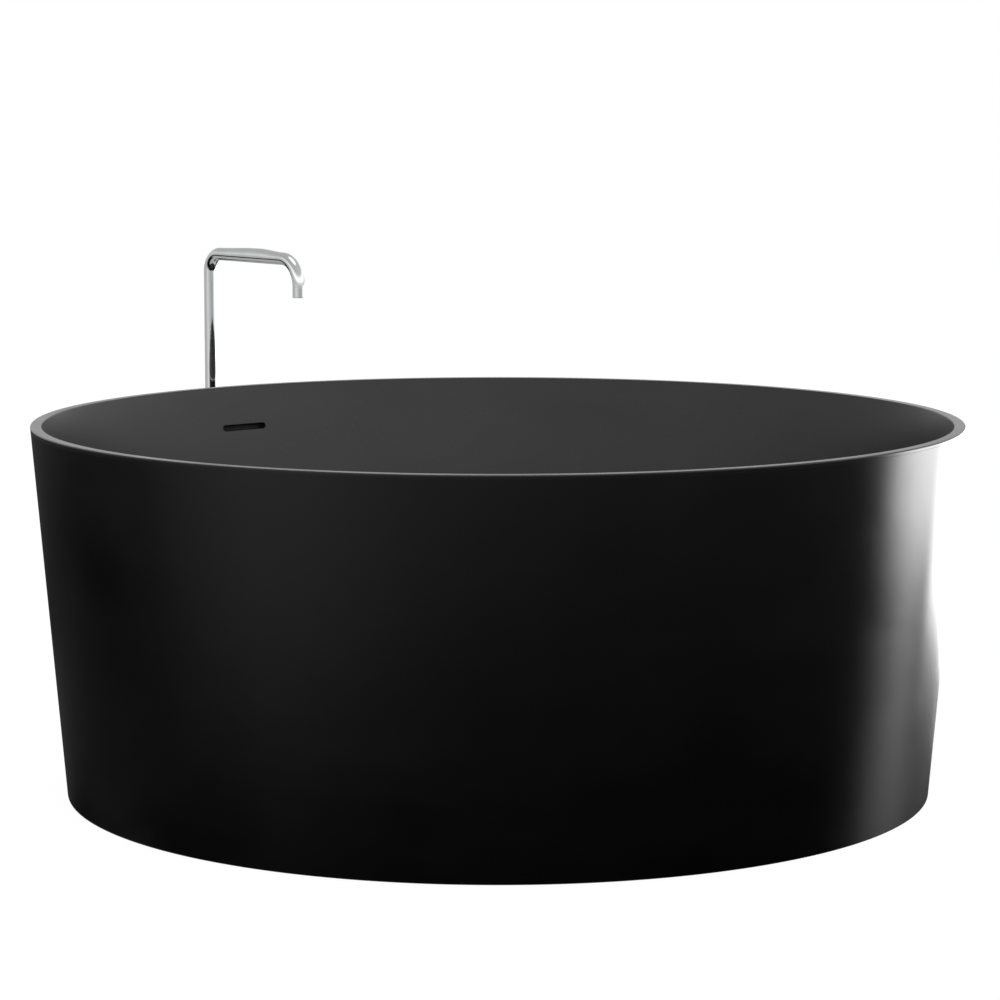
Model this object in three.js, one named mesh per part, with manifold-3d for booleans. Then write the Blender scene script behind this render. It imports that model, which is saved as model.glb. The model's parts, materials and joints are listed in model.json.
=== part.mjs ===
// Round freestanding bath with a floor-standing swivel spout. Millimetres, +Z up.
// Origin: on the floor under the centre of the bath. -Y faces the bather's side, +X is right.
import * as THREE from "three";
import { mergeVertices } from "three/addons/utils/BufferGeometryUtils.js";
import Module from "manifold-3d";

const wasm = await Module();
wasm.setup();

// ---- Driving dimensions: bath shells ----
const RIM_DIAMETER = 1500;
const BASE_DIAMETER = 1400;
const HEIGHT = 600;
const RIM_WIDTH = 18; // inner shell and skirt side by side under one lip
const SHELL = 9; // thickness of each shell
const LIP = 6; // depth of the rim above the joint
const EDGE = 2; // soft edge round the rim
const BOND = 0.3; // glue line or working gap between neighbouring pieces
const WALL_LEAN = 12; // degrees, inner wall from vertical
const FLOOR_FILLET = 130; // inside radius between wall and floor
const FLOOR_Z = 150; // bath floor at the waste
const FLOOR_FALL = 5; // rise of the floor from the waste to the fillet
const UNDERSIDE_Z = 139;
const SKIRT_BOTTOM_Z = 2; // shadow gap above the floor
const TUB_SIDES = 72; // facets round the bath
const SIDES = 24; // facets round visible fittings
const HIDDEN_SIDES = 16; // facets round pipes and feet that stay out of sight

// ---- Driving dimensions: overflow ----
const SLOT_AZIMUTH = 129.25; // degrees from +X, shared by the spout
const SLOT_Z = 528;
const SLOT_WIDTH = 91;
const SLOT_HEIGHT = 9.5;
const DUCT = { bottom: 352, top: 546, width: 114, gasket: 1.4, back: 1.6, end: 3 };
const HOSE = { bore: 11.4, outer: 13.5, radial: 702.6, bendZ: 322, lowRadial: 670, lowZ: 113 };

// ---- Driving dimensions: waste and plug ----
const WASTE = { bore: 20, tail: 24.5, flange: 36.8, tailZ: 118, hole: 26, recessZ: 145.5 };
const TEE_PORT_Z = 106;
const PIPE = { outer: 17, bore: 14.5, socket: 17.4, socketOuter: 21 };
const TRAP = { bend: 30, lowZ: 28, outletBend: 26, outletZ: 84, socketX: 108, endX: 236 };

// ---- Driving dimensions: base ----
const BOARD = { inner: 250, outer: 692.4, z: 28, thick: 18 };
const FOOT_AZIMUTHS = [18, 90, 162, 234, 306];
const FOOT_RADIAL = 560;
const STUD_RADIUS = 5;
const BLOCK = { radial: 430, long: 110, wide: 70 };

// ---- Driving dimensions: spout ----
const SPOUT_RADIAL = 819;
const TUBE = { outer: 11, bore: 9.5 };
const ARM_Z = 834;
const ARM_REACH = 272;
const COLUMN_BEND = 32;
const OUTLET_BEND = 46;
const OUTLET_Z = 768;
const HUB = { outer: 17, socket: 13.5, top: 60, floor: 15 };
const PLATE = { radius: 32, thick: 6, screwRadial: 24.5 };

// ---- Shell surfaces, as radius at a height ----
const leanTan = Math.tan(THREE.MathUtils.degToRad(WALL_LEAN));
const leanCos = Math.cos(THREE.MathUtils.degToRad(WALL_LEAN));
const innerWall = (z) => RIM_DIAMETER / 2 - RIM_WIDTH - (HEIGHT - z) * leanTan;
const innerBack = (z) => innerWall(z) + SHELL / leanCos;
const skirtFace = (z) =>
  (BASE_DIAMETER + ((RIM_DIAMETER - BASE_DIAMETER) * z) / (HEIGHT - EDGE)) / 2;
const skirtBack = (z) => skirtFace(z) - SHELL;

// ---- Finishes ----
const FINISH = {
  resin: { color: 0x1b1b1c, roughness: 0.42, metalness: 0 },
  chrome: { color: 0xd8dadc, roughness: 0.06, metalness: 1 },
  steel: { color: 0x9a9c9e, roughness: 0.35, metalness: 1 },
  brass: { color: 0xb08d4c, roughness: 0.3, metalness: 1 },
  ply: { color: 0xb58f63, roughness: 0.75, metalness: 0 },
  pine: { color: 0xcaa773, roughness: 0.8, metalness: 0 },
  rubber: { color: 0x1a1a1a, roughness: 0.85, metalness: 0 },
  whitePlastic: { color: 0xe6e6e2, roughness: 0.45, metalness: 0 },
  blackPlastic: { color: 0x1c1d1e, roughness: 0.5, metalness: 0 },
};

const assembly = new THREE.Group();

// Adds one named piece.
function piece(name, geometry, finish) {
  const mesh = new THREE.Mesh(geometry, new THREE.MeshStandardMaterial(FINISH[finish]));
  mesh.name = name;
  assembly.add(mesh);
}

// ---- Geometry helpers ----

// Welds a geometry, drops collapsed faces and turns its faces outward.
function closed(geometry) {
  const bare = new THREE.BufferGeometry();
  const source = geometry.index ? geometry.toNonIndexed() : geometry;
  bare.setAttribute("position", source.getAttribute("position"));
  const welded = mergeVertices(bare, 1e-3);
  const kept = [];
  const corner = [new THREE.Vector3(), new THREE.Vector3(), new THREE.Vector3()];
  let volume = 0;
  for (let i = 0; i < welded.index.count; i += 3) {
    const ids = [0, 1, 2].map((k) => welded.index.getX(i + k));
    if (new Set(ids).size < 3) continue;
    corner.forEach((v, k) => v.fromBufferAttribute(welded.getAttribute("position"), ids[k]));
    volume += corner[0].dot(corner[1].clone().cross(corner[2]));
    kept.push(ids);
  }
  welded.setIndex(kept.flatMap((ids) => (volume < 0 ? ids.reverse() : ids)));
  return welded;
}

function toSolid(geometry) {
  const shape = closed(geometry);
  return new wasm.Manifold(
    new wasm.Mesh({
      numProp: 3,
      vertProperties: new Float32Array(shape.getAttribute("position").array),
      triVerts: new Uint32Array(shape.index.array),
    }),
  );
}

function fromSolid(solid) {
  const mesh = solid.getMesh();
  const geometry = new THREE.BufferGeometry();
  geometry.setAttribute("position", new THREE.BufferAttribute(mesh.vertProperties, 3));
  geometry.setIndex(new THREE.BufferAttribute(mesh.triVerts, 1));
  return geometry;
}

// Joins the first list of geometries and cuts the second from them.
function carved(joined, cut) {
  const body = joined.map(toSolid).reduce((a, b) => a.add(b));
  return fromSolid(cut.map(toSolid).reduce((a, b) => a.subtract(b), body));
}

function common(a, b) {
  return fromSolid(toSolid(a).intersect(toSolid(b)));
}

// Solid of revolution about Z from [radius, height] pairs. A profile clear of the axis closes on itself.
function turned(profile, sides) {
  const loop = profile[0][0] === 0 ? profile : [...profile, profile[0]];
  const points = loop.map(([r, z]) => new THREE.Vector2(r, z));
  return closed(new THREE.LatheGeometry(points, sides).rotateX(Math.PI / 2));
}

const ring = (inner, outer, z0, z1, sides) =>
  turned([[inner, z0], [outer, z0], [outer, z1], [inner, z1]], sides);

const rod = (radius, z0, z1, sides) =>
  turned([[0, z0], [radius, z0], [radius, z1], [0, z1]], sides);

// Box from its low corner to its high corner.
function box(low, high) {
  const size = high.map((v, i) => v - low[i]);
  const mid = high.map((v, i) => (v + low[i]) / 2);
  return closed(new THREE.BoxGeometry(...size).translate(...mid));
}

// Points of an arc in the profile plane, angles in degrees.
function arc(cx, cz, radius, from, to, steps) {
  return Array.from({ length: steps + 1 }, (_, i) => {
    const a = THREE.MathUtils.degToRad(from + ((to - from) * i) / steps);
    return [cx + radius * Math.cos(a), cz + radius * Math.sin(a)];
  });
}

const circle = (x, y, radius, sides) => arc(x, y, radius, 0, 360, sides).slice(0, -1);

// Flat shape from an outline and a list of holes.
function section(outline, holes) {
  const toPoints = (list) => list.map(([x, y]) => new THREE.Vector2(x, y));
  const shape = new THREE.Shape(toPoints(outline));
  shape.holes = holes.map((hole) => new THREE.Path(toPoints(hole)));
  return shape;
}

// Flat plate in plan, between two heights.
function plate(outline, holes, z0, z1) {
  const settings = { depth: z1 - z0, bevelEnabled: false };
  return closed(new THREE.ExtrudeGeometry(section(outline, holes), settings).translate(0, 0, z0));
}

// Turns a geometry built on the +X side round to an azimuth in degrees.
const atAzimuth = (geometry, degrees) => geometry.rotateZ(THREE.MathUtils.degToRad(degrees));

// Lays a geometry built about Z along +X instead.
const alongX = (geometry) => geometry.rotateY(Math.PI / 2);

// A path given by stations, each a point and a heading, so that straight runs need no steps.
class Route extends THREE.Curve {
  constructor(stations) {
    super();
    this.stations = stations;
  }
  station(u) {
    return this.stations[Math.round(u * (this.stations.length - 1))];
  }
  getPointAt(u) {
    return this.station(u).at.clone();
  }
  getTangentAt(u) {
    return this.station(u).along.clone();
  }
}

// Route in the XZ plane: straight runs with rounded corners.
function pipeRoute(corners, radii, arcSteps) {
  const points = corners.map(([x, z]) => new THREE.Vector2(x, z));
  const heading = (a, b) => b.clone().sub(a).normalize();
  const stations = [{ at: points[0], along: heading(points[0], points[1]) }];
  for (let i = 1; i < points.length - 1; i++) {
    const before = heading(points[i - 1], points[i]);
    const after = heading(points[i], points[i + 1]);
    const turn = Math.atan2(before.cross(after), before.dot(after));
    const radius = radii[i - 1];
    const setback = radius * Math.tan(Math.abs(turn) / 2);
    const start = points[i].clone().addScaledVector(before, -setback);
    const side = new THREE.Vector2(-before.y, before.x).multiplyScalar(Math.sign(turn));
    const centre = start.clone().addScaledVector(side, radius);
    for (let k = 0; k <= arcSteps; k++) {
      const angle = (turn * k) / arcSteps;
      stations.push({
        at: start.clone().rotateAround(centre, angle),
        along: before.clone().rotateAround(new THREE.Vector2(), angle),
      });
    }
  }
  stations.push({ at: points.at(-1), along: heading(points.at(-2), points.at(-1)) });
  const lift = (v) => new THREE.Vector3(v.x, 0, v.y);
  return new Route(stations.map(({ at, along }) => ({ at: lift(at), along: lift(along) })));
}

// Round bar or tube along a route; a bore of 0 gives a solid bar.
function swept(route, outer, bore, sides) {
  const ends = section(circle(0, 0, outer, sides), bore > 0 ? [circle(0, 0, bore, sides)] : []);
  const steps = route.stations.length - 1;
  return closed(new THREE.ExtrudeGeometry(ends, { steps, extrudePath: route }));
}

// Twelve-sided union nut with a lip that holds its washer.
function unionNut(z0, z1) {
  const lip = 2;
  return turned(
    [
      [PIPE.socketOuter + 1, z0],
      [PIPE.socketOuter + 6, z0],
      [PIPE.socketOuter + 6, z1 - lip],
      [PIPE.socketOuter + 4.5, z1],
      [PIPE.outer + 1, z1],
      [PIPE.outer + 1, z1 - lip],
      [PIPE.socketOuter + 1, z1 - lip],
    ],
    12,
  );
}

// ---- Bath shells ----

const filletZ = FLOOR_Z + FLOOR_FALL + FLOOR_FILLET;
const filletR = innerWall(filletZ) - FLOOR_FILLET / leanCos;

// Inner shell: rim lip, leaning wall, filleted floor with a recessed waste hole and a slot.
function basin() {
  const top = RIM_DIAMETER / 2;
  const lipZ = HEIGHT - LIP;
  const recess = WASTE.flange + 0.6;
  const shell = turned(
    [
      [WASTE.hole, UNDERSIDE_Z],
      [filletR - 25, UNDERSIDE_Z],
      ...arc(filletR, filletZ, FLOOR_FILLET + SHELL, -90, -WALL_LEAN, 5),
      [innerBack(lipZ), lipZ],
      [skirtFace(lipZ), lipZ],
      ...arc(top - EDGE, HEIGHT - EDGE, EDGE, 0, 90, 2),
      ...arc(innerWall(HEIGHT) + EDGE, HEIGHT - EDGE, EDGE, 90, 180 - WALL_LEAN, 2),
      ...arc(filletR, filletZ, FLOOR_FILLET, -WALL_LEAN, -90, 6),
      [recess + 8, FLOOR_Z],
      [recess, FLOOR_Z],
      [recess, WASTE.recessZ],
      [WASTE.hole, WASTE.recessZ],
    ],
    TUB_SIDES,
  );
  piece("basin", carved([shell], [slotCutter()]), "resin");
}

// Stadium-shaped bar through the wall at the overflow.
function slotCutter() {
  const end = (SLOT_WIDTH - SLOT_HEIGHT) / 2;
  const outline = [
    ...arc(end, 0, SLOT_HEIGHT / 2, -90, 90, 6),
    ...arc(-end, 0, SLOT_HEIGHT / 2, 90, 270, 6),
  ];
  const bar = plate(outline, [], innerWall(SLOT_Z) - 20, innerBack(SLOT_Z) + 6);
  bar.rotateX(Math.PI / 2).rotateZ(Math.PI / 2).translate(0, 0, SLOT_Z);
  return atAzimuth(bar, SLOT_AZIMUTH);
}

// Outer shell under the lip, tapering to the base.
function outerSkirt() {
  const topZ = HEIGHT - LIP - BOND;
  const low = SKIRT_BOTTOM_Z;
  const profile = [
    [skirtBack(low) + EDGE, low],
    [skirtFace(low) - EDGE, low],
    [skirtFace(low) - 0.6, low + 0.6],
    [skirtFace(low + EDGE), low + EDGE],
    [skirtFace(topZ), topZ],
    [skirtBack(topZ), topZ],
    [skirtBack(low + EDGE), low + EDGE],
  ];
  piece("outer_skirt", turned(profile, TUB_SIDES), "resin");
}

// ---- Base: board, blocks and feet ----

function baseBoard() {
  const holes = FOOT_AZIMUTHS.map((azimuth) => {
    const [[x, y]] = arc(0, 0, FOOT_RADIAL, azimuth, azimuth, 1);
    return circle(x, y, STUD_RADIUS + 0.5, 12);
  });
  holes.push(circle(0, 0, BOARD.inner, 48));
  const outline = circle(0, 0, BOARD.outer, TUB_SIDES);
  piece("base_board", plate(outline, holes, BOARD.z, BOARD.z + BOARD.thick), "ply");
}

function supports() {
  const boardTop = BOARD.z + BOARD.thick + BOND;
  FOOT_AZIMUTHS.forEach((azimuth, i) => {
    const low = [BLOCK.radial - BLOCK.long / 2, -BLOCK.wide / 2, boardTop];
    const high = [BLOCK.radial + BLOCK.long / 2, BLOCK.wide / 2, UNDERSIDE_Z - BOND];
    piece(`support_block_${i + 1}`, atAzimuth(box(low, high), azimuth), "pine");
  });
}

function feet() {
  const nut = plate(circle(0, 0, 9.8, 6), [circle(0, 0, STUD_RADIUS + 0.4, 12)], 20, 27.7);
  const stud = rod(STUD_RADIUS, 5.3, 60, 12);
  const pad = turned(
    [
      [0, 0],
      [22.5, 0],
      [24, 1.5],
      [24, 5],
      [10, 10],
      [STUD_RADIUS + 0.3, 10],
      [STUD_RADIUS + 0.3, 5],
      [0, 5],
    ],
    HIDDEN_SIDES,
  );
  FOOT_AZIMUTHS.forEach((azimuth, i) => {
    const standing = (part) => atAzimuth(part.clone().translate(FOOT_RADIAL, 0, 0), azimuth);
    piece(`foot_pad_${i + 1}`, standing(pad), "rubber");
    piece(`foot_stud_${i + 1}`, standing(stud), "steel");
    piece(`foot_nut_${i + 1}`, standing(nut), "steel");
  });
}

// ---- Overflow: gasket, duct, hose and clamps behind the slot ----

// Slab that follows the back of the inner shell, between two offsets, heights and a width.
function curvedSlab(near, far, z0, z1, width) {
  const sector = turned([[near(z0), z0], [far(z0), z0], [far(z1), z1], [near(z1), z1]], TUB_SIDES);
  atAzimuth(sector, -SLOT_AZIMUTH);
  const window = box([600, -width / 2, z0 - 1], [800, width / 2, z1 + 1]);
  return atAzimuth(common(sector, window), SLOT_AZIMUTH);
}

function overflow() {
  const { bottom, top, width, gasket, back, end } = DUCT;
  const gasketBack = (z) => innerBack(z) + BOND + gasket;
  const ductFront = (z) => gasketBack(z) + BOND;
  const ductBack = (z) => skirtBack(z) - 0.8;
  const pad = curvedSlab((z) => innerBack(z) + BOND, gasketBack, bottom, top, width);
  const opening = curvedSlab(
    (z) => innerBack(z) - 2,
    (z) => gasketBack(z) + 2,
    bottom + 8,
    top - 6,
    width - 12,
  );
  piece("overflow_gasket", carved([pad], [opening]), "rubber");

  const spigot = (radius, z0, z1) =>
    atAzimuth(rod(radius, z0, z1, HIDDEN_SIDES).translate(HOSE.radial, 0, 0), SLOT_AZIMUTH);
  const shell = curvedSlab(ductFront, ductBack, bottom, top, width);
  const hollow = curvedSlab(
    (z) => ductFront(z) - 4,
    (z) => ductBack(z) - back,
    bottom + end,
    top - end,
    width - 2 * end,
  );
  const duct = carved([shell, spigot(11, 331, bottom + 1)], [hollow, spigot(9, 330, bottom + end + 1)]);
  piece("overflow_duct", duct, "blackPlastic");

  const path = pipeRoute(
    [
      [HOSE.radial, bottom - BOND],
      [HOSE.radial, HOSE.bendZ],
      [HOSE.lowRadial, HOSE.lowZ],
      [33, TEE_PORT_Z],
    ],
    [60, 60],
    5,
  );
  const hose = swept(path, HOSE.outer, HOSE.bore, HIDDEN_SIDES);
  piece("overflow_hose", atAzimuth(hose, SLOT_AZIMUTH), "blackPlastic");

  const upper = hoseClamp().translate(HOSE.radial, 0, 338);
  const lower = alongX(hoseClamp()).translate(42, 0, TEE_PORT_Z);
  piece("hose_clamp_upper", atAzimuth(upper, SLOT_AZIMUTH), "steel");
  piece("hose_clamp_lower", atAzimuth(lower, SLOT_AZIMUTH), "steel");
  piece("hose_clip", atAzimuth(hoseClip(), SLOT_AZIMUTH), "whitePlastic");
}

// Band clamp about Z with its screw housing to one side.
function hoseClamp() {
  const inner = HOSE.outer + 0.3;
  const band = ring(inner, inner + 1.3, 0, 9, HIDDEN_SIDES);
  const housing = box([-5, inner + 0.9, 0.8], [5, inner + 6.5, 8.2]);
  return carved([band, housing], [rod(inner, -1, 10, HIDDEN_SIDES)]);
}

// Bracket under the bath floor that carries the level run of the hose.
function hoseClip() {
  const x = 330;
  const along = (x - 33) / (HOSE.lowRadial - 33);
  const z = TEE_PORT_Z + (HOSE.lowZ - TEE_PORT_Z) * along;
  const top = UNDERSIDE_Z - BOND;
  const outline = [[-24, top], ...arc(0, z, HOSE.outer + 3, 180, 360, 8), [24, top]];
  outline.splice(1, 0, [-24, top - 2.5], [-HOSE.outer - 3, top - 2.5]);
  outline.splice(-1, 0, [HOSE.outer + 3, top - 2.5], [24, top - 2.5]);
  const body = plate(outline, [circle(0, z, HOSE.outer + 0.6, HIDDEN_SIDES)], x - 7, x + 7);
  return body.rotateX(Math.PI / 2).rotateZ(Math.PI / 2);
}

// ---- Waste: flange, seals, tee, trap and outlet ----

function wasteFlange() {
  const { bore, tail, flange, tailZ } = WASTE;
  const seat = FLOOR_Z - 1;
  const body = turned(
    [
      [bore, tailZ],
      [tail, tailZ],
      [tail, FLOOR_Z - 2.6],
      [flange, FLOOR_Z - 2.6],
      [flange, FLOOR_Z - 1.4],
      [flange - 2.3, FLOOR_Z],
      [31, FLOOR_Z],
      [30, seat],
      [bore + 1, seat],
      [bore, seat - 1],
    ],
    SIDES,
  );
  const boss = rod(10.5, 122, 132, HIDDEN_SIDES);
  const arms = [0, 120, 240].map((azimuth) =>
    atAzimuth(box([6, -1.5, 123], [bore + 1.5, 1.5, 129]), azimuth),
  );
  piece("waste_flange", carved([body, boss, ...arms], [rod(7.3, 121, 133, HIDDEN_SIDES)]), "chrome");
  piece("waste_gasket_upper", ring(27, 36.4, WASTE.recessZ + 0.2, FLOOR_Z - 2.8, SIDES), "rubber");
  piece("waste_gasket_lower", ring(tail + BOND, 38, 135.3, UNDERSIDE_Z - BOND, SIDES), "rubber");
}

// Clamps the flange from below; the side port takes the overflow hose.
function wasteTee() {
  const body = turned(
    [
      [0, 66],
      [PIPE.outer, 66],
      [PIPE.outer, 92],
      [28.5, 92],
      [28.5, 129],
      [38, 129],
      [38, 135],
      [0, 135],
    ],
    SIDES,
  );
  const bore = turned(
    [
      [0, 65],
      [PIPE.bore, 65],
      [PIPE.bore, 94],
      [WASTE.bore, 97],
      [WASTE.bore, WASTE.tailZ - 0.4],
      [WASTE.tail + BOND, WASTE.tailZ - 0.4],
      [WASTE.tail + BOND, 136],
      [0, 136],
    ],
    SIDES,
  );
  const port = (radius, from, to) =>
    atAzimuth(alongX(rod(radius, from, to, HIDDEN_SIDES)).translate(0, 0, TEE_PORT_Z), SLOT_AZIMUTH);
  piece("waste_tee", carved([body, port(11, 20, 60)], [bore, port(9, 5, 61)]), "blackPlastic");
}

function trap() {
  const { bend, lowZ, outletBend, outletZ, socketX, endX } = TRAP;
  const socketTop = 84;
  const shoulder = 62;
  const path = pipeRoute(
    [[0, shoulder], [0, lowZ], [2 * bend, lowZ], [2 * bend, outletZ], [socketX + 2, outletZ]],
    [bend - 0.5, bend - 0.5, outletBend],
    5,
  );
  const tube = swept(path, PIPE.outer, PIPE.bore, HIDDEN_SIDES);
  const socket = turned(
    [
      [PIPE.bore, 0],
      [PIPE.socketOuter, 0],
      [PIPE.socketOuter, socketTop - shoulder],
      [PIPE.socket, socketTop - shoulder],
      [PIPE.socket, 2],
      [PIPE.bore, 2],
    ],
    HIDDEN_SIDES,
  );
  const inlet = socket.clone().translate(0, 0, shoulder);
  const outlet = alongX(socket.clone()).translate(socketX, 0, outletZ);
  piece("trap_bend", carved([tube, inlet, outlet], []), "whitePlastic");

  const washer = ring(PIPE.outer + BOND, PIPE.socketOuter - 0.3, 0.2, 1.6, HIDDEN_SIDES);
  const nut = unionNut(-16, 3.9);
  piece("trap_washer_inlet", washer.clone().translate(0, 0, socketTop), "rubber");
  piece("trap_nut_inlet", nut.clone().translate(0, 0, socketTop), "whitePlastic");
  const mouthX = socketX + socketTop - shoulder;
  piece("trap_washer_outlet", alongX(washer).translate(mouthX, 0, outletZ), "rubber");
  piece("trap_nut_outlet", alongX(nut).translate(mouthX, 0, outletZ), "whitePlastic");
  const pipe = alongX(ring(PIPE.bore, PIPE.outer, socketX + 2.3, endX, HIDDEN_SIDES));
  piece("waste_pipe", pipe.translate(0, 0, outletZ), "whitePlastic");
}

// ---- Push-open plug ----

// Closed spring wound about Z.
function coil(radius, wire, z0, z1, turns) {
  const steps = turns * 12;
  const pitch = (z1 - z0 - 2 * wire) / (2 * Math.PI * turns);
  const stations = Array.from({ length: steps + 1 }, (_, i) => {
    const a = (2 * Math.PI * turns * i) / steps;
    const [x, y] = [radius * Math.cos(a), radius * Math.sin(a)];
    return {
      at: new THREE.Vector3(x, y, z0 + wire + pitch * a),
      along: new THREE.Vector3(-y, x, pitch).normalize(),
    };
  });
  return swept(new Route(stations), wire, 0, 6);
}

function plug() {
  const cap = turned(
    [
      [0, 150.3],
      [2.3, 150.3],
      [2.3, 145],
      [5, 145],
      [5, 151.7],
      [31, 151.7],
      [32, 152.6],
      [31, 154],
      [24, 155.4],
      [12, 156.3],
      [0, 156.6],
    ],
    SIDES,
  );
  piece("plug_cap", cap, "chrome");
  piece("plug_seal", ring(21.5, 29, 149.4, 151.4, SIDES), "rubber");
  const stem = turned(
    [[0, 128], [4.8, 128], [4.8, 131], [2, 131], [2, 150], [0, 150]],
    HIDDEN_SIDES,
  );
  piece("plug_stem", stem, "brass");
  const cartridge = turned(
    [
      [1.5, 112],
      [7, 112],
      [7, 132.3],
      [9.5, 132.3],
      [9.5, 135],
      [7, 135],
      [7, 141],
      [5.2, 141],
      [5.2, 114],
      [1.5, 114],
    ],
    HIDDEN_SIDES,
  );
  piece("plug_cartridge", cartridge, "brass");
  piece("plug_cartridge_cap", ring(2.5, 7, 141.3, 143, HIDDEN_SIDES), "brass");
  piece("plug_spring", coil(3.4, 0.55, 114.3, 127.7, 4), "steel");
}

// ---- Floor-standing spout ----

// Moves a geometry built about the Z axis to the spout's column, its +X turned towards the bath.
const atColumn = (geometry) =>
  atAzimuth(geometry.translate(-SPOUT_RADIAL, 0, 0), SLOT_AZIMUTH + 180);

function spoutBase() {
  const screwHoles = [90, 210, 330].map((azimuth) => {
    const [[x, y]] = arc(0, 0, PLATE.screwRadial, azimuth, azimuth, 1);
    return [x, y];
  });
  const outline = circle(0, 0, PLATE.radius, SIDES);
  const holes = [circle(0, 0, 8, HIDDEN_SIDES), ...screwHoles.map(([x, y]) => circle(x, y, 3, 12))];
  piece("anchor_plate", atColumn(plate(outline, holes, 0, PLATE.thick)), "steel");
  const screw = turned(
    [[0, 0.2], [2.6, 0.2], [2.6, 6.3], [5, 6.3], [5, 8], [4, 9.4], [0, 9.4]],
    12,
  );
  screwHoles.forEach(([x, y], i) =>
    piece(`anchor_screw_${i + 1}`, atColumn(screw.clone().translate(x, y, 0)), "steel"),
  );
  const cover = turned(
    [
      [HUB.outer + 0.4, 11.2],
      [33, 10.2],
      [34.2, 9],
      [34.2, BOND],
      [36, BOND],
      [36, 9.6],
      [34, 12],
      [HUB.outer + 0.4, 13.2],
    ],
    SIDES,
  );
  piece("escutcheon", atColumn(cover), "chrome");
}

function spoutHub() {
  const { outer, socket, top, floor } = HUB;
  const hub = turned(
    [
      [6, PLATE.thick + BOND],
      [outer, PLATE.thick + BOND],
      [outer, top - 1.5],
      [outer - 1.2, top],
      [socket, top],
      [socket, floor],
      [6, floor],
    ],
    SIDES,
  );
  piece("spout_hub", atColumn(hub), "chrome");
  const bush = ring(TUBE.outer + BOND, socket - 0.3, floor + 0.4, 23, SIDES);
  piece("swivel_bush", atColumn(bush), "whitePlastic");
  const seal = turned(circle(12.2, 0, 0.9, 6), SIDES);
  piece("o_ring_lower", atColumn(seal.clone().translate(0, 0, 28)), "rubber");
  piece("o_ring_upper", atColumn(seal.clone().translate(0, 0, 44)), "rubber");

  const collar = turned(
    [
      [TUBE.outer + 0.4, top + BOND],
      [outer - 1, top + BOND],
      [outer, top + 1.3],
      [outer, top + 8.5],
      [outer - 1.5, top + 10],
      [TUBE.outer + 0.4, top + 10],
    ],
    SIDES,
  );
  const screwZ = top + 5.2;
  const radialRod = (radius, from, to) =>
    alongX(rod(radius, from, to, 12)).rotateZ(Math.PI).translate(0, 0, screwZ);
  piece("spout_collar", atColumn(carved([collar], [radialRod(2.3, 9, 20)])), "chrome");
  piece("grub_screw", atColumn(radialRod(2, TUBE.outer + 0.6, outer - 1)), "steel");
}

// One bent tube: column, arm and turned-down outlet.
function spoutTube() {
  const path = pipeRoute(
    [
      [0, HUB.floor + 0.4],
      [0, ARM_Z],
      [ARM_REACH, ARM_Z],
      [ARM_REACH, OUTLET_Z + 19.3],
    ],
    [COLUMN_BEND, OUTLET_BEND],
    8,
  );
  piece("spout_tube", atColumn(swept(path, TUBE.outer, TUBE.bore, SIDES)), "chrome");
}

function aerator() {
  const atOutlet = (geometry) => atColumn(geometry.translate(ARM_REACH, 0, OUTLET_Z));
  const { outer } = TUBE;
  const shell = turned(
    [
      [9.3, 0],
      [outer - 0.5, 0],
      [outer, 0.6],
      [outer, 18.6],
      [outer - 0.3, 19],
      [9.2, 19],
      [9.2, 22],
      [7.9, 22],
      [7.9, 17.5],
      [9.3, 17.5],
    ],
    SIDES,
  );
  piece("aerator_ring", atOutlet(shell), "chrome");
  piece("aerator_washer", atOutlet(ring(6, 9, 15.2, 17.3, SIDES)), "rubber");
  const jets = [circle(0, 0, 0.9, 8)];
  for (let k = 0; k < 6; k++) {
    jets.push(circle(...arc(0, 0, 3, 60 * k, 60 * k, 1)[0], 0.9, 8));
    jets.push(circle(...arc(0, 0, 6, 60 * k + 30, 60 * k + 30, 1)[0], 0.9, 8));
  }
  piece("aerator_insert", atOutlet(plate(circle(0, 0, 9, SIDES), jets, 1.5, 15)), "whitePlastic");
}

basin();
outerSkirt();
baseBoard();
supports();
feet();
overflow();
wasteFlange();
wasteTee();
trap();
plug();
spoutBase();
spoutHub();
spoutTube();
aerator();

export default assembly;
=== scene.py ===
"""Round freestanding bath with a floor-standing swivel spout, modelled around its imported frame."""
import json
import math

import bmesh
import bpy
from mathutils import Matrix, Vector


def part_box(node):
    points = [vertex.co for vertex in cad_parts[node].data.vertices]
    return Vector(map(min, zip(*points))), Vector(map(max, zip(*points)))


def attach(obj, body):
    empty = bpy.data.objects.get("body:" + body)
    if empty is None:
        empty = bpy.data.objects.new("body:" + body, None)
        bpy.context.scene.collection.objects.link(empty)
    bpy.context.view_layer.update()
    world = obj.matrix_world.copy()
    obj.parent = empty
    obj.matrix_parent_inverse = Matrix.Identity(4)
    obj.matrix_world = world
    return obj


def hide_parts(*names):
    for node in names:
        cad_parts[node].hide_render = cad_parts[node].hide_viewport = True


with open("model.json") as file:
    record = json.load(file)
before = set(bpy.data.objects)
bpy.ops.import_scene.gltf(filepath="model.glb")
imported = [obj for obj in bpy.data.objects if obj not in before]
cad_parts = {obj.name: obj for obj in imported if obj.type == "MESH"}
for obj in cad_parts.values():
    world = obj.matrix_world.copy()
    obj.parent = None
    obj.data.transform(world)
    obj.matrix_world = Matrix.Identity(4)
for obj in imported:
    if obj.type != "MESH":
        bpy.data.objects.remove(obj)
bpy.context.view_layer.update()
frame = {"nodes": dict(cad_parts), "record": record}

MM = 0.001

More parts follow.
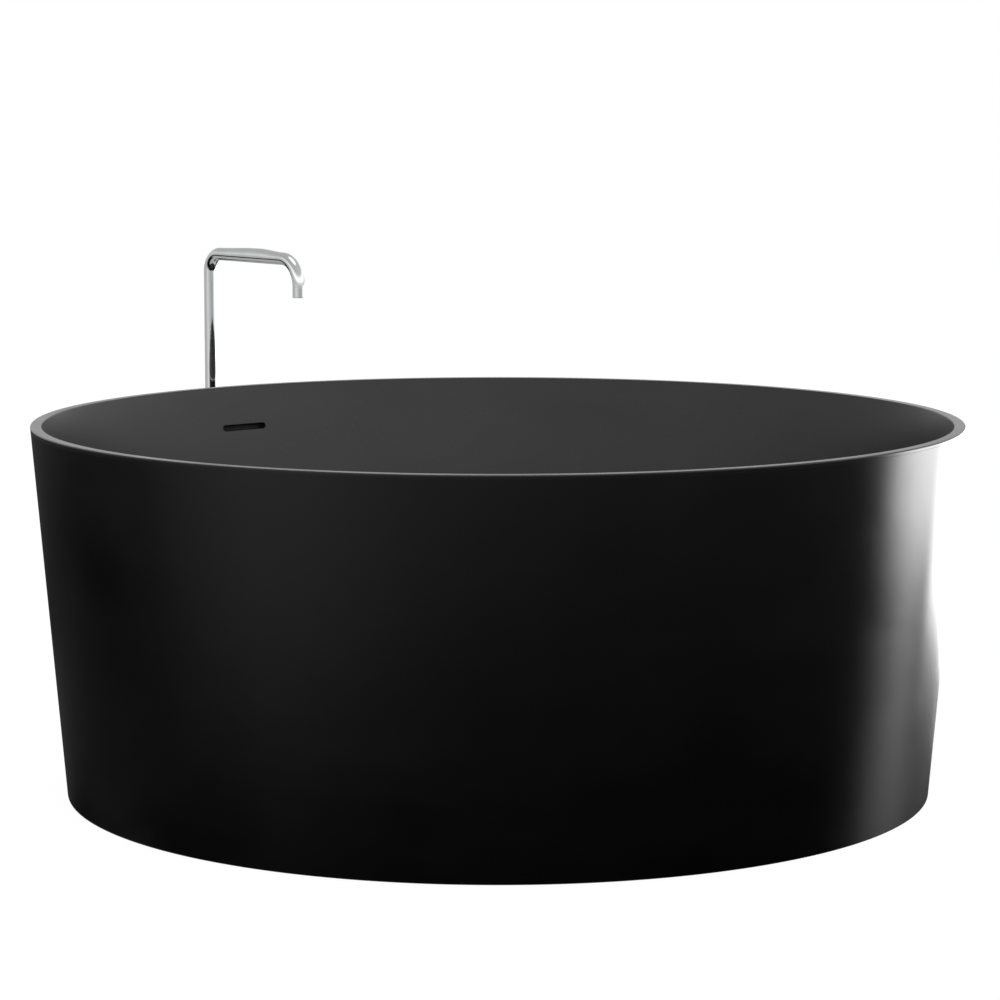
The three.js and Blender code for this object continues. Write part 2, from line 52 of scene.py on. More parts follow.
# ---- Bath shells, in metres ----
RIM_RADIUS = 0.750
BASE_RADIUS = 0.700
HEIGHT = 0.600
RIM_WIDTH = 0.018
SHELL = 0.009
LIP = 0.006
EDGE = 0.002
WALL_LEAN = math.radians(12)
FILLET = 0.130
FLOOR_Z = 0.150
FLOOR_FALL = 0.005
UNDERSIDE_Z = 0.139
SKIRT_BOTTOM_Z = 0.002
TUB_COLUMNS = 360
WASTE_HOLE = 0.026
RECESS_RADIUS = 0.0374  # round the waste
RECESS_Z = 0.1455
RECESS_EDGE = 0.0012
LIP_FACE = 0.0012  # the skirt's finish starts this far inside the lip's outer edge
SKIRT_BREAK_Z = 0.30  # one more ring of points in the straight wall

# ---- Base board ----
PLY = 0.0036  # two neighbouring plies

# ---- Overflow slot ----
SLOT_AZIMUTH = math.radians(129.25)
SLOT_Z = 0.528
SLOT_HALF_RUN = 0.04075  # centre to the middle of a round end
SLOT_HALF_HEIGHT = 0.00475
SLOT_SOFT = 0.0013  # radius of the slot's edge
PATCH_COLUMNS = 10
PATCH_ROWS = 6
PATCH_STEP = 0.007

# ---- Spout ----
column_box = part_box("escutcheon")
COLUMN = (column_box[0] + column_box[1]) / 2
COLUMN.z = 0
REACH = Vector((-COLUMN.x, -COLUMN.y, 0)).normalized()
TUBE_RADIUS = 0.011
TUBE_BORE = 0.0095
TUBE_FOOT_Z = 0.0154
TUBE_END_Z = 0.7873
ARM_REACH = 0.272
ARM_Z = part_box("spout_tube")[1].z - TUBE_RADIUS
ARM_CROWN = 0.0040  # rise of the arm's top at its thickest
ARM_CROWN_AT = 0.155  # from the column
ARM_CROWN_FALL = 0.075  # from the thickest place to the outlet bend
COLUMN_BEND = 0.032
OUTLET_BEND = 0.046

# ---- Levelling feet ----
FEET = 5
STUD_RADIUS = 5  # mm
STUD_ROOT = 4.45  # mm
STUD_PITCH = 1.5  # mm
STUD_TURNS = 35
NUT_Z = 0.020
NUT_CORNER = 0.0098
NUT_TOP = 0.0077
NUT_BORE = 0.0054

# ---- Overflow hose, trap and outlet pipe; corners are (distance from the axis, z) ----
HOSE_CORNERS = ((0.7026, 0.322), (0.670, 0.113), (0.033, 0.106))
HOSE_RADIUS = 0.0135
HOSE_BORE = 0.0114
HOSE_GROOVE = 0.0012
HOSE_PITCH = 0.005
HOSE_UPPER_CUFF = 0.022
HOSE_LOWER_CUFF = 0.028
HOSE_BEND = 0.060
PIPE_RADIUS = 0.017
PIPE_BORE = 0.0145
PORT_Z = 0.084
TRAP_REACH = 0.130
TRAP_RISER = 0.060
TRAP_LOW_Z = 0.028
TRAP_BENDS = (0.0295, 0.0295, 0.026)

# ---- Camera and studio floor ----
LENS = 119.74
LENS_SHIFT = 0.0021
EYE = (0, -5.355, 1.161)
LOOK_DOWN = math.radians(7.37)
FLOOR_HALF = 14
FLOOR_GLOW = 1.045
FLOOR_GLOW_SHARE = 0.93

# ---- Studio light: (x, level) stops ----
# x is a direction's height z, its azimuth in degrees from the front, or its rise. Rise is 0 where the
# reflected floor meets the bath and 1 at the reflection in the skirt's upper edge. FLOOR_RANGE and
# PANEL_RANGE are the spans of rise that those curves cover.
FLOOR_RANGE = (-0.2, 1.2)
PANEL_RANGE = (-0.2, 1.6)
RISE_ZERO = 0.342
RISE_SPAN = 0.102
RISE_TILT = 0.08
RISE_TILT_CURVE = 0.023
SKY = ((-0.10, 0.60), (0.0, 0.60), (0.12, 0.66), (0.30, 0.66), (0.55, 0.50), (0.92, 0.50), (0.965, 1.5),
       (1.0, 1.6))
SKY_SLOPE = 0.14  # brighter to the right
HORIZON = ((-180, 0.55), (-120, 0.52), (-98, 0.46), (-72, 0.55), (-43, 0.76), (-22, 0.62), (0, 0.52),
           (22, 0.43), (54, 0.40), (64, 0.62), (76, 1.04), (132, 1.04), (160, 0.60), (180, 0.55))
HORIZON_FADE = (-0.035, 0.02)
LEFT_BAND = ((0.02, 0.0), (0.10, 0.12), (0.18, 0.24), (0.26, 0.12), (0.34, 0.0))
LEFT_BAND_ROUND = ((-180, 0.0), (-122, 0.0), (-112, 0.35), (-100, 0.9), (-84, 0.6), (-62, 0.0))
REAR_BAND = ((0.02, 0.0), (0.07, 0.58), (0.16, 0.58), (0.26, 0.0))
REAR_BAND_ROUND = ((-180, 1.0), (-160, 1.0), (-142, 0.0), (142, 0.0), (160, 1.0), (180, 1.0))
BAND = ((0.08, 0.0), (0.14, 0.20), (0.22, 0.62), (0.31, 0.74), (0.40, 0.40), (0.58, 0.0))
BAND_ROUND = ((-180, 0.0), (-112, 0.0), (-84, 0.5), (-62, 1.0), (100, 1.0), (126, 0.8), (152, 0.3),
              (180, 0.0))
FLOOR_RISE = ((0.15, 0.0), (0.23, 0.04), (0.31, 0.17), (0.40, 0.27), (0.5, 0.32), (0.67, 0.40),
              (0.77, 0.52), (0.86, 0.64), (1.0, 0.86))
FLOOR_ROUND = ((-180, 0.05), (-136, 0.045), (-119, 0.02), (-109, 0.03), (-93, 0.14), (-76, 0.38),
               (-62, 0.56), (-48, 0.54), (-23, 0.34), (0, 0.22), (24, 0.155), (78, 0.125), (120, 0.10),
               (180, 0.06))
LEFT_RISE = ((0.05, 0.0), (0.2, 0.04), (0.5, 0.03), (0.7, 0.0))
LEFT_ROUND = ((-180, 0.5), (-158, 1.0), (-112, 1.0), (-92, 0.6), (-70, 0.0), (158, 0.0), (180, 0.5))
NEAR_LEVEL = 0.42
NEAR_RISE = (-0.10, -0.60)
NEAR_ROUND = ((-180, 0.5), (-158, 1.0), (-112, 1.0), (-96, 0.0), (158, 0.0), (180, 0.5))
DEEP_HEIGHT = (-0.62, -0.80)
LEFT_EDGE = (-104, -84)
RIGHT_EDGE = (46, 64)
SKY_START = (1.2, 1.0)  # rise where the sky starts, left and front
SKY_START_RIGHT = 0.6  # added at the right
SKY_FULL = (1.65, 2.3)
PANEL_RISE = ((-0.1, 0.03), (0.05, 0.08), (0.2, 0.10), (0.45, 0.11), (0.55, 0.115), (0.65, 0.15),
              (0.74, 0.28), (0.83, 0.52), (0.92, 0.86), (1.02, 1.05))
PANEL_ROUND = ((-180, 0.25), (-174, 0.0), (99, 0.0), (105, 0.25), (109, 1.6), (111, 3.0), (113, 4.8),
               (117, 6.1), (124, 6.7), (130, 5.9), (136, 4.2), (143, 2.2), (152, 1.1), (172, 0.5),
               (180, 0.25))
# PANEL_LEAN: degrees the panel's reflection leans at each rise. PANEL_SQUEEZE: how much it narrows past
# its middle.
PANEL_LEAN = ((0.0, -2.0), (0.2, -1.5), (0.35, 1.0), (0.65, 9.5), (0.80, 7.0), (0.92, 1.5), (1.0, -0.5))
PANEL_SQUEEZE = ((0.0, 0.1), (0.25, 0.3), (0.45, 0.7), (0.60, 1.0), (0.70, 0.75), (0.80, 0.3), (0.95, 0.0))
PANEL_MIDDLE = 117.0
PANEL_TOP = ((-0.14, 1.0), (-0.11, 0.42), (-0.05, 0.26), (-0.015, 0.0))
REAR_RISE = ((0.28, 0.0), (0.40, 0.035), (0.50, 0.04), (0.56, 0.08), (0.62, 0.5), (0.70, 1.0))
REAR_ROUND = ((-180, 0.4), (-174, 0.0), (135, 0.0), (141, 5.3), (152, 5.8), (162, 9.5), (168, 9.5),
              (173, 0.6), (180, 0.4))


# ================= Shader helpers =================

class Nodes:
    """Small builder for one node tree."""

    def __init__(self, tree):
        self.tree = tree
        tree.nodes.clear()

    def add(self, kind, inputs=None, **settings):
        node = self.tree.nodes.new(kind)
        for key, value in settings.items():
            setattr(node, key, value)
        for key, value in (inputs or {}).items():
            self.feed(node.inputs[key], value)
        return node

    def feed(self, socket, value):
        if isinstance(value, bpy.types.NodeSocket):
            self.tree.links.new(value, socket)
        elif isinstance(value, tuple) and len(value) == 3 and len(socket.default_value) == 4:
            socket.default_value = (*value, 1)
        else:
            socket.default_value = value

    def maths(self, operation, a, b=0.0):
        node = self.add("ShaderNodeMath", operation=operation)
        self.feed(node.inputs[0], a)
        self.feed(node.inputs[1], b)
        return node.outputs[0]

    def plus(self, a, b):
        return self.maths("ADD", a, b)

    def times(self, a, b):
        return self.maths("MULTIPLY", a, b)

    def fade(self, value, start, end, low=0.0, high=1.0, smooth=False):
        """Maps start to end onto low to high, flat outside them."""
        node = self.add(
            "ShaderNodeMapRange",
            {"Value": value, "From Min": start, "From Max": end, "To Min": low, "To Max": high},
            interpolation_type="SMOOTHSTEP" if smooth else "LINEAR",
        )
        return node.outputs["Result"]


def grey(v):
    return (v, v, v)


class Finish(Nodes):
    """A surface material: a Principled shader with helpers for patterns in object space."""

    def __init__(self, name, **fixed):
        self.material = bpy.data.materials.new(name)
        self.material.use_nodes = True
        super().__init__(self.material.node_tree)
        self.shader = self.add("ShaderNodeBsdfPrincipled", fixed)
        self.place = self.add("ShaderNodeTexCoord").outputs["Object"]
        output = self.add("ShaderNodeOutputMaterial")
        self.feed(output.inputs["Surface"], self.shader.outputs["BSDF"])

    def noise(self, scale, detail=3.0, roughness=0.55, stretch=(1, 1, 1), warp=0.0):
        mapped = self.add("ShaderNodeMapping", {"Vector": self.place, "Scale": Vector(stretch)})
        node = self.add(
            "ShaderNodeTexNoise",
            {
                "Vector": mapped.outputs["Vector"],
                "Scale": scale,
                "Detail": detail,
                "Roughness": roughness,
                "Distortion": warp,
            },
        )
        return node.outputs["Fac"]

    def span(self, value, low, high, start=0.3, end=0.7):
        """Maps a pattern's middle range to a number range."""
        return self.fade(value, start, end, low, high)

    def blend(self, factor, a, b):
        node = self.add("ShaderNodeMix", data_type="RGBA")
        self.feed(node.inputs["Factor"], factor)
        self.feed(node.inputs[6], a)
        self.feed(node.inputs[7], b)
        return node.outputs[2]

    def bump(self, height, strength, distance, under=None):
        inputs = {"Height": height, "Strength": strength, "Distance": distance}
        if under is not None:
            inputs["Normal"] = under
        return self.add("ShaderNodeBump", inputs).outputs["Normal"]

    def edge_wear(self, low=0.52, high=0.62):
        """Rises on convex edges."""
        return self.span(self.add("ShaderNodeNewGeometry").outputs["Pointiness"], 0, 1, low, high)

    def finish(self, color=None, roughness=None, normal=None):
        for socket, value in (("Base Color", color), ("Roughness", roughness), ("Normal", normal)):
            if value is not None:
                self.feed(self.shader.inputs[socket], value)
        return self.material


# ================= Materials =================

def satin_resin(name, base, rough_low, rough_high):
    """Honed black mineral resin: faint clouding, a fine tooth, and lighter rubbed edges."""
    f = Finish(name, IOR=1.5)
    cloud = f.noise(7.0, 4.0, 0.6)
    grain = f.noise(1400.0, 2.0)
    fleck = f.noise(320.0, 1.0)
    tone = f.blend(f.span(cloud, 0, 1), grey(base * 0.8), grey(base * 1.25))
    tone = f.blend(f.span(fleck, 0, 0.5, 0.62, 0.74), tone, grey(base * 3.2))
    tone = f.blend(f.times(f.edge_wear(), 0.35), tone, grey(0.05))
    wiped = f.noise(3.0, 2.0, 0.5, (1, 1, 2.4), 0.6)
    patches = f.plus(f.times(cloud, 0.4), f.times(wiped, 0.6))
    rough = f.span(patches, rough_low, rough_high, 0.35, 0.65)
    normal = f.bump(grain, 0.10, 0.00012)
    normal = f.bump(f.noise(26.0, 2.0), 0.06, 0.0006, normal)
    return f.finish(tone, rough, normal)


def chrome_plate(name):
    """Bright plating with faint water marks and wiping haze."""
    f = Finish(name, Metallic=1.0, IOR=2.5)
    haze = f.noise(38.0, 4.0, 0.6, (1, 1, 0.5), 0.4)
    spots = f.noise(260.0, 1.0)
    tone = f.blend(f.span(haze, 0, 1), (0.80, 0.81, 0.82), (0.88, 0.885, 0.89))
    rough = f.plus(f.span(haze, 0.035, 0.085), f.span(spots, 0, 0.07, 0.66, 0.8))
    return f.finish(tone, rough, f.bump(f.noise(90.0, 2.0), 0.03, 0.0003))


def zinc_steel(name):
    """Zinc plating with crystal spangle, brushed along Z, with a little rust."""
    f = Finish(name, Metallic=1.0)
    spangle = f.add("ShaderNodeTexVoronoi", {"Vector": f.place, "Scale": 420.0}).outputs["Color"]
    tint = f.blend(spangle, (0.44, 0.45, 0.47), (0.62, 0.63, 0.64))
    brushed = f.noise(60.0, 3.0, 0.6, (1, 1, 14))
    rust = f.span(f.noise(30.0, 5.0, 0.7), 0, 0.5, 0.62, 0.78)
    tone = f.blend(rust, tint, (0.30, 0.25, 0.20))
    return f.finish(tone, f.span(brushed, 0.24, 0.46), f.bump(brushed, 0.15, 0.0002))


def brass(name):
    """Turned brass with tarnished patches."""
    f = Finish(name, Metallic=1.0)
    turned = f.noise(40.0, 2.0, 0.5, (1, 1, 30))
    tarnish = f.span(f.noise(45.0, 4.0), 0, 0.7)
    tone = f.blend(tarnish, (0.72, 0.53, 0.25), (0.42, 0.29, 0.13))
    return f.finish(tone, f.span(turned, 0.2, 0.42), f.bump(turned, 0.2, 0.00015))


def rubber(name, base=0.02):
    """Black rubber with a fine grain and dust."""
    f = Finish(name)
    dust = f.noise(70.0, 5.0, 0.65)
    tone = f.blend(f.span(dust, 0, 0.6, 0.5, 0.75), grey(base), (0.085, 0.08, 0.072))
    return f.finish(tone, f.span(dust, 0.62, 0.86), f.bump(f.noise(700.0, 2.0), 0.25, 0.0002))


def moulded_plastic(name, colour, rough, haze=1.25):
    """Injection-moulded plastic: spark-eroded texture, slight flow marks and handling dirt."""
    f = Finish(name)
    flow = f.noise(24.0, 3.0, 0.5, (1, 1, 2))
    dirt = f.span(f.noise(55.0, 5.0, 0.7), 0, 0.35, 0.58, 0.78)
    pale = tuple(min(1.0, c * haze) for c in colour)
    dark = tuple(c * 0.6 for c in colour)
    tone = f.blend(dirt, f.blend(f.span(flow, 0, 1), colour, pale), dark)
    normal = f.bump(f.noise(900.0, 2.0), 0.18, 0.00015)
    return f.finish(tone, f.span(flow, rough - 0.07, rough + 0.08), normal)


def plywood(name):
    """Birch face veneer on top and edge plies at the sides."""
    f = Finish(name)
    grain = f.noise(9.0, 6.0, 0.62, (1.0, 14.0, 1.0), 1.4)
    pore = f.noise(60.0, 3.0, 0.6, (1.0, 22.0, 1.0))
    face = f.blend(f.span(grain, 0, 1), (0.60, 0.43, 0.26), (0.42, 0.27, 0.14))
    face = f.blend(f.span(pore, 0, 0.5, 0.56, 0.7), face, (0.28, 0.17, 0.08))
    split = f.add("ShaderNodeSeparateXYZ", {"Vector": f.place})
    layer = f.maths("FRACT", f.times(split.outputs["Z"], 1 / PLY))
    edge = f.blend(f.span(layer, 0, 1, 0.42, 0.58), (0.52, 0.37, 0.22), (0.30, 0.19, 0.10))
    up = f.add("ShaderNodeSeparateXYZ", {"Vector": f.add("ShaderNodeNewGeometry").outputs["Normal"]})
    flat = f.maths("ABSOLUTE", up.outputs["Z"])
    tone = f.blend(f.span(flat, 0, 1, 0.4, 0.6), edge, face)
    return f.finish(tone, f.span(grain, 0.55, 0.8), f.bump(grain, 0.3, 0.0005))


def sawn_pine(name):
    """Pine with growth rings, saw marks and knots."""
    f = Finish(name)
    rings = f.noise(22.0, 4.0, 0.6, (1, 1, 0.12), 0.8)
    saw = f.noise(240.0, 2.0, 0.5, (1, 1, 5))
    tone = f.blend(f.span(rings, 0, 1, 0.38, 0.6), (0.70, 0.53, 0.33), (0.50, 0.31, 0.15))
    knot = f.span(f.noise(15.0, 1.0), 0, 0.8, 0.7, 0.78)
    tone = f.blend(knot, tone, (0.23, 0.12, 0.05))
    return f.finish(tone, f.span(saw, 0.65, 0.9), f.bump(saw, 0.4, 0.0006))


MATERIALS = {
    # The shell and the skirt are one black resin. The shell's lighter base tone is painted light and the
    # skirt's darker base tone is painted shade; their roughness differs too
    "resin_shell": satin_resin("satin_resin_painted_lit", 0.0120, 0.28, 0.34),
    "resin_skirt": satin_resin("satin_resin_painted_shade", 0.0010, 0.14, 0.19),
    # The slot's cut sides have a rougher cut face, and a darker base tone that is painted shade inside the
    # slot
    "slot_resin_painted_shade": satin_resin("slot_resin_painted_shade", 0.0010, 0.55, 0.7),
    "chrome_trim": chrome_plate("chrome_trim"),
    "chrome_tube": chrome_plate("chrome_tube"),
    "zinc_steel": zinc_steel("zinc_steel"),
    "brass_parts": brass("turned_brass"),
    "seal_rubber": rubber("seal_rubber"),
    "foot_rubber": rubber("foot_rubber", 0.028),
    "black_plastic": moulded_plastic("black_plastic", (0.010, 0.010, 0.011), 0.68, 1.6),
    "hose_plastic": moulded_plastic("hose_plastic", (0.045, 0.045, 0.05), 0.5),
    "white_plastic": moulded_plastic("white_plastic", (0.76, 0.76, 0.73), 0.4, 1.1),
    "birch_ply": plywood("birch_ply"),
    "pine_block": sawn_pine("sawn_pine"),
}


# ================= Mesh helpers =================

def arc(cx, cz, radius, start, end, steps):
    """Points of an arc in the profile plane; angles in degrees."""
    points = []
    for i in range(steps + 1):
        a = math.radians(start + (end - start) * i / steps)
        points.append((cx + radius * math.cos(a), cz + radius * math.sin(a)))
    return points


def softened(corners, closed=True, steps=4):
    """Rounds a profile: corners are (r, z) or (r, z, radius)."""
    out = []
    count = len(corners)
    for i, corner in enumerate(corners):
        here = Vector(corner[:2])
        radius = corner[2] if len(corner) > 2 else 0
        inside = closed or 0 < i < count - 1
        if not radius or not inside:
            out.append(tuple(here))
            continue
        back = Vector(corners[i - 1][:2]) - here
        ahead = Vector(corners[(i + 1) % count][:2]) - here
        half = back.angle(ahead) / 2
        reach = min(radius / math.tan(half), back.length * 0.48, ahead.length * 0.48)
        a = here + back.normalized() * reach
        b = here + ahead.normalized() * reach
        for k in range(steps + 1):
            t = k / steps
            out.append(tuple(a * (1 - t) ** 2 + here * 2 * t * (1 - t) + b * t**2))
    return out


def ring_verts(bm, profile, columns, start=0.0):
    """A grid of vertices: one row for each profile point, one column for each azimuth."""
    rows = []
    for r, z in profile:
        if r == 0:
            rows.append([bm.verts.new((0, 0, z))] * columns)
            continue
        row = []
        for k in range(columns):
            a = start + 2 * math.pi * k / columns
            row.append(bm.verts.new((r * math.cos(a), r * math.sin(a), z)))
        rows.append(row)
    return rows


def skin_rows(bm, rows, closed, skip=()):
    """Faces between neighbouring rows, leaving out the (row, column) cells in skip."""
    columns = len(rows[0])
    pairs = list(zip(rows, rows[1:])) + ([(rows[-1], rows[0])] if closed else [])
    for i, (low, high) in enumerate(pairs):
        for k in range(columns):
            if (i, k) in skip:
                continue
            n = (k + 1) % columns
            loop = [low[k], low[n], high[n], high[k]]
            unique = list(dict.fromkeys(loop))
            if len(unique) > 2:
                bm.faces.new(unique)


def to_object(bm, name, material, body, node):
    """Turns a bmesh into a smooth-shaded piece that rides on a body and stands for a CAD node."""
    bmesh.ops.recalc_face_normals(bm, faces=bm.faces)
    mesh = bpy.data.meshes.new(name)
    bm.to_mesh(mesh)
    bm.free()
    mesh.polygons.foreach_set("use_smooth", [True] * len(mesh.polygons))
    mesh.set_sharp_from_angle(angle=math.radians(38))
    piece = bpy.data.objects.new(name, mesh)
    bpy.context.scene.collection.objects.link(piece)
    mesh.materials.append(MATERIALS[material])
    weigh(piece)
    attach(piece, body)
    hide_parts(node)
    return piece


def weigh(piece):
    """Flat faces keep flat shading beside their rounded edges."""
    modifier = piece.modifiers.new("weighted_normals", "WEIGHTED_NORMAL")
    modifier.keep_sharp = True
    modifier.weight = 60


def place(bm, offset=(0, 0, 0), azimuth=None, tilt=None):
    """Moves a bmesh: a tilt about Y first, then a shift, then a turn about Z."""
    move = Matrix.Translation(offset)
    if tilt is not None:
        move = move @ Matrix.Rotation(tilt, 4, "Y")
    if azimuth is not None:
        move = Matrix.Rotation(azimuth, 4, "Z") @ move
    bm.transform(move)
    return bm


def lathe(profile, columns=64, closed=True):
    """Turns a profile about Z; an open profile starts and ends on the axis."""
    bm = bmesh.new()
    skin_rows(bm, ring_verts(bm, profile, columns), closed)
    return bm


def planar_route(corners, radii, steps):
    """Rounded route in the (s, z) plane as a list of (point, heading)."""
    pts = [Vector(c) for c in corners]
    stations = [(pts[0], (pts[1] - pts[0]).normalized())]
    for i in range(1, len(pts) - 1):
        a = (pts[i] - pts[i - 1]).normalized()
        b = (pts[i + 1] - pts[i]).normalized()
        turn = math.atan2(a.x * b.y - a.y * b.x, a.dot(b))
        radius = radii[i - 1]
        start = pts[i] - a * radius * math.tan(abs(turn) / 2)
        side = Vector((-a.y, a.x)) * math.copysign(1, turn)
        centre = start + side * radius
        for k in range(steps + 1):
            t = turn * k / steps
            c, s = math.cos(t), math.sin(t)
            arm = start - centre
            spun = Vector((c * arm.x - s * arm.y, s * arm.x + c * arm.y))
            head = Vector((c * a.x - s * a.y, s * a.x + c * a.y))
            stations.append((centre + spun, head))
    stations.append((pts[-1], (pts[-1] - pts[-2]).normalized()))
    return stations


def spaced(stations, step):
    """The same route with stations no more than a step apart."""
    out = [stations[0]]
    for (p, t), (q, u) in zip(stations, stations[1:]):
        count = max(1, math.ceil((q - p).length / step))
        out += [(p.lerp(q, k / count), t.lerp(u, k / count).normalized()) for k in range(1, count + 1)]
    return out


def tube(stations, outer, bore, sides, origin, heading):
    """Hollow tube along a planar route; outer and bore are radii, or lists with one for each station."""
    bm = bmesh.new()
    across = Vector((-heading.y, heading.x, 0))
    up = Vector((0, 0, 1))
    skins = []
    for radius in (outer, bore):
        rows = []
        for i, (p, t) in enumerate(stations):
            centre = origin + heading * p.x + up * p.y
            normal = heading * -t.y + up * t.x
            r = radius[i] if isinstance(radius, list) else radius
            row = []
            for k in range(sides):
                a = 2 * math.pi * k / sides
                row.append(bm.verts.new(centre + across * r * math.cos(a) + normal * r * math.sin(a)))
            rows.append(row)
        skins.append(rows)
    skin_rows(bm, skins[0] + skins[1][::-1], True)
    return bm


# ================= Bath shells =================

def inner_wall(z):
    """Radius of the inner wall's wet face at a height."""
    return RIM_RADIUS - RIM_WIDTH - (HEIGHT - z) * math.tan(WALL_LEAN)


def inner_back(z):
    """Radius of the inner wall's hidden face at a height."""
    return inner_wall(z) + SHELL / math.cos(WALL_LEAN)


def skirt_face(z):
    """Radius of the skirt's outer face at a height."""
    return BASE_RADIUS + (RIM_RADIUS - BASE_RADIUS) * z / (HEIGHT - EDGE)


def slot_ring(depth, grow):
    """Points round the slot, matched to the patch border: depth behind the wall, grow outside the outline."""
    radius = inner_wall(SLOT_Z)
    half_width = math.radians(PATCH_COLUMNS / 2 * 360 / TUB_COLUMNS) * radius
    half_height = PATCH_STEP * PATCH_ROWS / 2
    across, along = 2 * PATCH_COLUMNS, 2 * PATCH_ROWS
    border = [(-1 + 2 * i / across, -1) for i in range(across)]
    border += [(1, -1 + 2 * i / along) for i in range(along)]
    border += [(1 - 2 * i / across, 1) for i in range(across)]
    border += [(-1, 1 - 2 * i / along) for i in range(along)]
    points = []
    for bu, bv in border:
        edge = Vector((bu * half_width, bv * half_height))
        centre = Vector((max(-SLOT_HALF_RUN, min(SLOT_HALF_RUN, edge.x)), 0))
        p = centre + (edge - centre).normalized() * (SLOT_HALF_HEIGHT + grow)
        a = SLOT_AZIMUTH + p.x / radius
        z = SLOT_Z + p.y
        r = inner_wall(z) + depth
        points.append((r * math.cos(a), r * math.sin(a), z))
    return points


def border_loop(rows, first_row, step):
    """The patch border in a grid of rows, in the order slot_ring uses."""
    c0 = -(PATCH_COLUMNS // 2)
    c1 = PATCH_COLUMNS // 2

    def at(i, k):
        return rows[first_row + step * i][k % TUB_COLUMNS]

    loop = [at(0, k) for k in range(c0, c1)]
    loop += [at(i, c1) for i in range(PATCH_ROWS)]
    loop += [at(PATCH_ROWS, k) for k in range(c1, c0, -1)]
    loop += [at(i, c0) for i in range(PATCH_ROWS, 0, -1)]
    return loop


def basin():
    """Inner shell: the wall is one turned surface with the slot worked into its grid."""
    fillet_z = FLOOR_Z + FLOOR_FALL + FILLET
    fillet_r = inner_wall(fillet_z) - FILLET / math.cos(WALL_LEAN)
    below_slot = [0.30, 0.36, 0.42, 0.47]
    above_slot = [0.575]
    slot_zs = [SLOT_Z + (i - PATCH_ROWS / 2) * PATCH_STEP for i in range(PATCH_ROWS + 1)]
    wall_zs = below_slot + slot_zs + above_slot
    profile = [(WASTE_HOLE, RECESS_Z), (RECESS_RADIUS, RECESS_Z), (RECESS_RADIUS, FLOOR_Z - RECESS_EDGE)]
    profile += arc(RECESS_RADIUS + RECESS_EDGE, FLOOR_Z - RECESS_EDGE, RECESS_EDGE, 180, 90, 3)[1:]
    profile += [(0.06, FLOOR_Z), (0.12, FLOOR_Z + 0.0008), (0.25, FLOOR_Z + 0.0021)]
    profile += [(0.40, FLOOR_Z + 0.0036)]
    profile += arc(fillet_r, fillet_z, FILLET, -90, -math.degrees(WALL_LEAN), 20)
    front_row = len(profile) + len(below_slot)
    profile += [(inner_wall(z), z) for z in wall_zs]
    lean = math.degrees(WALL_LEAN)
    profile += arc(inner_wall(HEIGHT) + EDGE, HEIGHT - EDGE, EDGE, 180 - lean, 90, 5)
    profile += [(RIM_RADIUS - RIM_WIDTH / 2, HEIGHT)]
    profile += arc(RIM_RADIUS - EDGE, HEIGHT - EDGE, EDGE, 90, 0, 6)
    lip_z = HEIGHT - LIP
    profile += softened([(skirt_face(HEIGHT - EDGE), HEIGHT - EDGE),
                         (skirt_face(lip_z), lip_z, 0.00015), (inner_back(lip_z), lip_z)], False)[1:]
    back_row = len(profile) + len(above_slot)
    profile += [(inner_back(z), z) for z in reversed(wall_zs)]
    profile += arc(fillet_r, fillet_z, FILLET + SHELL, -lean, -90, 16)
    profile += [(fillet_r - 0.025, UNDERSIDE_Z), (WASTE_HOLE, UNDERSIDE_Z)]

    bm = bmesh.new()
    rows = ring_verts(bm, profile, TUB_COLUMNS, SLOT_AZIMUTH)
    half = PATCH_COLUMNS // 2
    cells = [(i, k % TUB_COLUMNS) for i in range(PATCH_ROWS) for k in range(-half, half)]
    skip = {(front_row + i, k) for i, k in cells} | {(back_row + i, k) for i, k in cells}
    skin_rows(bm, rows, True, skip)

    depth = SHELL / math.cos(WALL_LEAN)
    loops = [slot_ring(0, 0.009), slot_ring(0, 0.0035)]
    for k in range(5):
        a = math.radians(90 * k / 4)
        loops.append(slot_ring(SLOT_SOFT * (1 - math.cos(a)), SLOT_SOFT * (1 - math.sin(a))))
    loops += [slot_ring(depth * 0.5, 0), slot_ring(depth, 0), slot_ring(depth, 0.009)]
    loops = [[bm.verts.new(p) for p in loop] for loop in loops]
    for row, (a, b) in enumerate(zip(loops, loops[1:])):
        for k in range(len(a)):
            n = (k + 1) % len(a)
            face = bm.faces.new([a[k], a[n], b[n], b[k]])
            # the slot's straight sides take the darker resin, which is painted shade inside the slot
            face.material_index = 2 if row in (6, 7) else 0  # 6 and 7 are the slot's straight sides
    borders = (
        (border_loop(rows, front_row, 1), loops[0]),
        (border_loop(rows, back_row + PATCH_ROWS, -1), loops[-1]),
    )
    for border, ring in borders:
        for k in range(len(border)):
            n = (k + 1) % len(border)
            near = [ring[(2 * k + j) % len(ring)] for j in (2, 1, 0)]
            bm.faces.new([border[k], border[n], *near])
    # the lip outside the rim takes the skirt's finish, whose darker base tone is painted shade
    for face in bm.faces:
        centre = face.calc_center_median()
        if math.hypot(centre.x, centre.y) > RIM_RADIUS - LIP_FACE and centre.z < HEIGHT - LIP_FACE:
            face.material_index = 1
    # the shell's lighter base tone is painted light; the lip and the slot's sides take darker copies with
    # painted shade
    shell = to_object(bm, "bath_inner_shell", "resin_shell", "bath", "basin")
    shell.data.materials.append(MATERIALS["resin_skirt"])
    shell.data.materials.append(MATERIALS["slot_resin_painted_shade"])


